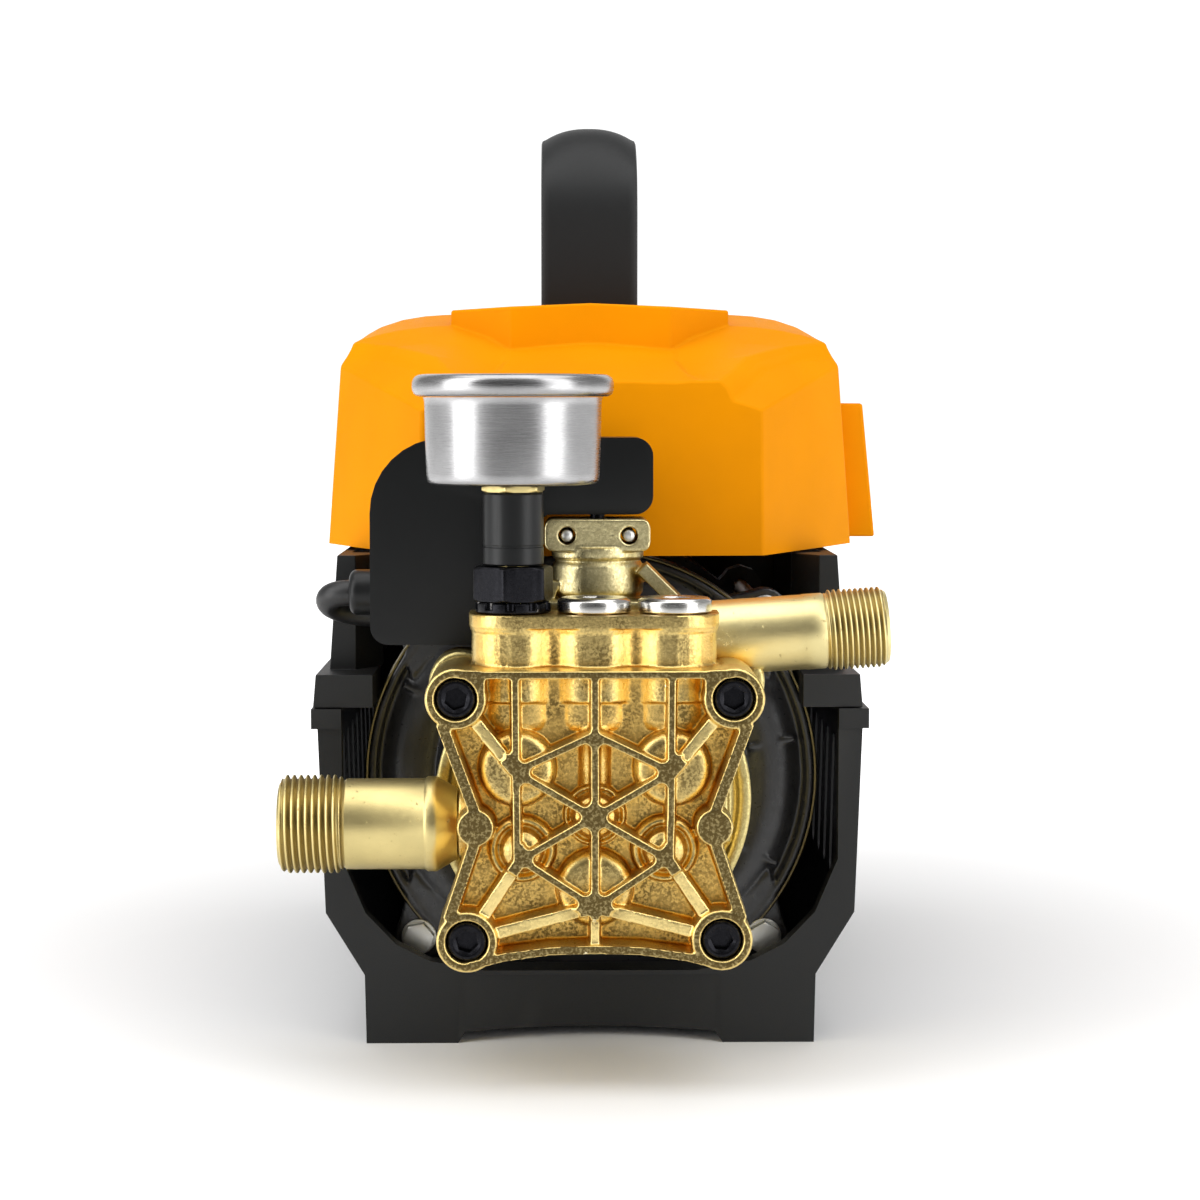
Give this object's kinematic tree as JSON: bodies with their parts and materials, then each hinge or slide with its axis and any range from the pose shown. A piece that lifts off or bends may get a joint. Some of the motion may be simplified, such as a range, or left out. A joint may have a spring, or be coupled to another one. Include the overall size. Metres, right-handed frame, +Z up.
{
  "type": "pressure washer pump",
  "caption": "Electric pressure washer pump unit: three-plunger gold head with gauge and unloader, motor in a black cradle, orange cover and carry handle.",
  "frame": {"origin": "centre of the bounding box in plan, at the underside of the feet", "axes": "+Z up, -Y is the pump head's front face, +X is the outlet side, the motor shaft runs along Y"},
  "size_m": [0.1716, 0.292, 0.2665],
  "materials": {
    "cast_gold": "cast and tumbled, fine dark grain on the flats, bright edges",
    "brass": "machined brass, slightly dull",
    "black_steel": "black oxide",
    "chrome": "polished plating",
    "polished_steel": "spun and polished",
    "zinc_steel": "zinc plated",
    "black_plastic": "satin moulded",
    "black_paint": "semi-gloss paint over a casting",
    "orange_plastic": "satin moulded",
    "laminated_steel": "stacked laminations",
    "copper_wire": "varnished copper winding",
    "cable_rubber": "smooth sheath",
    "dial_face": "white enamel",
    "signal_red": "red enamel",
    "lens": "clear polished"
  },
  "bodies": {
    "frame": {"pump_head": "cast_gold", "unloader_housing": "cast_gold", "outlet_tube": "cast_gold", "crankcase": "cast_gold", "inlet_fitting": "brass", "gauge_stem": "brass", "gauge_movement": "brass", "head_bolt_1": "black_steel", "head_bolt_2": "black_steel", "head_bolt_3": "black_steel", "head_bolt_4": "black_steel", "gauge_adapter": "black_steel", "gauge_nut": "black_steel", "valve_plug_centre": "chrome", "valve_plug_right": "chrome", "gauge_case": "polished_steel", "gauge_bezel": "polished_steel", "thrust_bearing": "polished_steel", "front_bearing": "polished_steel", "rear_bearing": "polished_steel", "unloader_pin_left": "zinc_steel", "unloader_pin_right": "zinc_steel", "plunger_spring_1": "zinc_steel", "plunger_spring_2": "zinc_steel", "plunger_spring_3": "zinc_steel", "motor_bolt_1": "zinc_steel", "motor_bolt_2": "zinc_steel", "motor_bolt_3": "zinc_steel", "motor_bolt_4": "zinc_steel", "gauge_sleeve": "black_plastic", "switch_box_front": "black_plastic", "switch_box_rear": "black_plastic", "micro_switch": "black_plastic", "cable_gland": "black_plastic", "mains_gland": "black_plastic", "lower_frame": "black_plastic", "upper_frame": "black_plastic", "handle": "black_plastic", "rocker_switch_body": "black_plastic", "motor_front_bell": "black_paint", "motor_rear_bell": "black_paint", "fan_cover": "black_paint", "cover": "orange_plastic", "switch_housing": "orange_plastic", "motor_stator": "laminated_steel", "stator_winding": "copper_wire", "switch_cable": "cable_rubber", "gauge_dial": "dial_face", "capacitor": "dial_face", "gauge_lens": "lens"},
    "rotor": {"motor_shaft": "zinc_steel", "motor_rotor": "laminated_steel", "cooling_fan": "black_plastic", "swash_plate": "black_steel"},
    "plunger_1": {"plunger_1": "polished_steel"},
    "plunger_2": {"plunger_2": "polished_steel"},
    "plunger_3": {"plunger_3": "polished_steel"},
    "needle": {"gauge_needle": "signal_red"},
    "rocker": {"rocker_button": "signal_red"},
    "unloader": {"unloader_piston": "zinc_steel"}
  },
  "joints": [
    {"name": "rotor_spin", "type": "hinge", "parent": "frame", "child": "rotor", "pos_m": [-0.0022, 0.00297, 0.074], "axis": [0, 1, 0], "continuous": true},
    {"name": "plunger_1_stroke", "type": "slide", "parent": "frame", "child": "plunger_1", "axis": [0, -1, 0], "range_m": [-0.00579, 0.00042], "stiffness_N_per_m": 1500},
    {"name": "plunger_2_stroke", "type": "slide", "parent": "frame", "child": "plunger_2", "axis": [0, -1, 0], "range_m": [-0.00042, 0.00579], "stiffness_N_per_m": 1500},
    {"name": "plunger_3_stroke", "type": "slide", "parent": "frame", "child": "plunger_3", "axis": [0, -1, 0], "range_m": [-0.0031, 0.0031], "stiffness_N_per_m": 1500},
    {"name": "gauge_needle_turn", "type": "hinge", "parent": "frame", "child": "needle", "pos_m": [-0.0235, -0.11953, 0.18], "axis": [0, 0, -1], "range_deg": [0, 270], "stiffness_Nm_per_rad": 0.0002},
    {"name": "rocker_switch_rock", "type": "hinge", "parent": "frame", "child": "rocker", "pos_m": [0.0808, 0.03097, 0.1605], "axis": [0, 1, 0], "range_deg": [0, 8]},
    {"name": "unloader_lift", "type": "slide", "parent": "frame", "child": "unloader", "axis": [0, 0, 1], "range_m": [0, 0.0025], "stiffness_N_per_m": 3000}
  ]
}
